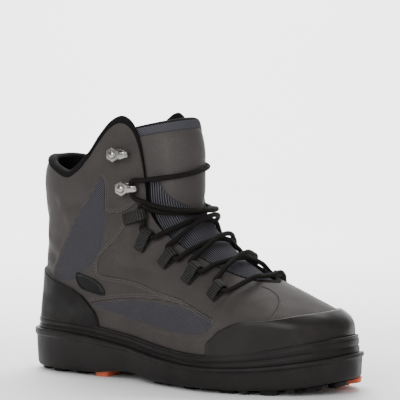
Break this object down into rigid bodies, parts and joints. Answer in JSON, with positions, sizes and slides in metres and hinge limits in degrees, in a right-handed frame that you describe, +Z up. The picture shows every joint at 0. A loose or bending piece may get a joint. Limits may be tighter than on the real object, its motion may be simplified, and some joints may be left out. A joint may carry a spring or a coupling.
{
  "type": "wading boot",
  "caption": "Ankle-high lace-up wading boot for the right foot with a lugged rubber sole, rubber toe cap and counter, webbing lace loops and open hooks.",
  "frame": {"origin": "on the floor under the middle of the heel, at the flat foot of the heel's middle lug", "axes": "+X from heel to toe, +Y to the inner side of the right foot, +Z up"},
  "size_m": [0.322, 0.1243, 0.2224],
  "materials": {
    "synthetic_leather": "matt grained synthetic leather, warm dark grey",
    "lining": "matt woven lining",
    "black_rubber": "satin moulded rubber",
    "orange_rubber": "satin moulded rubber",
    "webbing": "ribbed black webbing and round cord",
    "nickel": "bright plated steel"
  },
  "bodies": {
    "root": {"outsole": "black_rubber", "lug_insert_1": "orange_rubber", "lug_insert_2": "orange_rubber", "lug_insert_3": "orange_rubber", "lug_insert_4": "orange_rubber", "lug_insert_5": "orange_rubber", "lug_insert_6": "orange_rubber", "lug_insert_7": "orange_rubber", "arch_inlay": "orange_rubber", "midsole": "black_rubber", "insole": "lining", "upper": "synthetic_leather", "tongue": "synthetic_leather", "toe_cap": "black_rubber", "heel_counter": "black_rubber", "lace_loop_outer_1": "webbing", "lace_loop_outer_2": "webbing", "lace_loop_outer_3": "webbing", "lace_loop_outer_4": "webbing", "lace_loop_outer_5": "webbing", "lace_loop_inner_1": "webbing", "lace_loop_inner_2": "webbing", "lace_loop_inner_3": "webbing", "lace_loop_inner_4": "webbing", "lace_loop_inner_5": "webbing", "lace_hook_outer_1": "nickel", "lace_hook_outer_2": "nickel", "lace_hook_inner_1": "nickel", "lace_hook_inner_2": "nickel", "pull_loop": "webbing", "lace": "webbing"}
  },
  "joints": []
}
